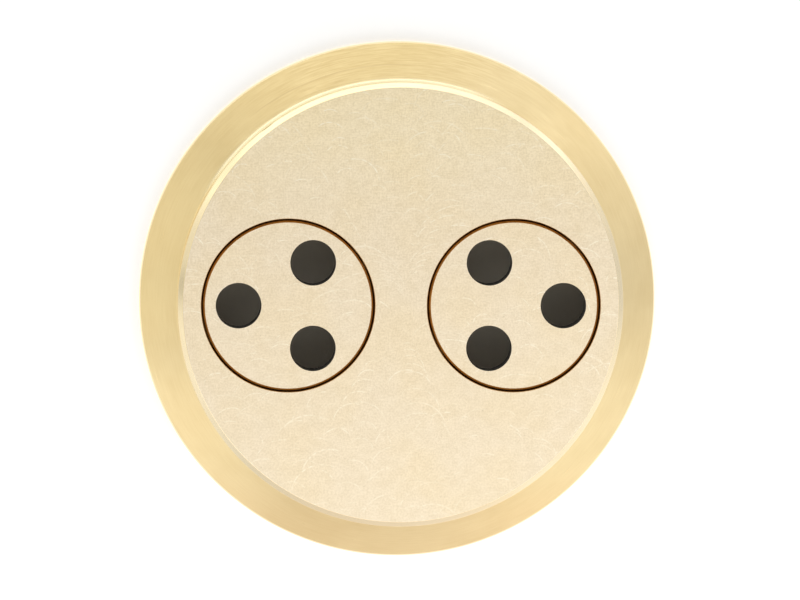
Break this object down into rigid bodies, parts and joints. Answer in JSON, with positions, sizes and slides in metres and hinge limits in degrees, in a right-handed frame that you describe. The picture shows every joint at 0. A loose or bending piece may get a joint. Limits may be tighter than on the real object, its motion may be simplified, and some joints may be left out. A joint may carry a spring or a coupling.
{
  "type": "pasta extrusion die",
  "caption": "Round bronze pasta die with a bevelled rim and loose round inserts pierced by round outlet holes; it clamps on an extruder's mouth and shapes the dough.",
  "frame": {"origin": "centre of the back (inlet) face, on which the die lies", "axes": "+Z along the die's axis towards the front (outlet) face, +X from the left insert to the right one"},
  "size_m": [0.057, 0.057, 0.0095],
  "materials": {
    "die_bronze": "satin",
    "insert_bronze": "satin",
    "seal_rubber": "matte"
  },
  "bodies": {
    "root": {"die_body": "die_bronze", "insert_left": "insert_bronze", "insert_right": "insert_bronze", "insert_seal_left": "seal_rubber", "insert_seal_right": "seal_rubber"}
  },
  "joints": []
}
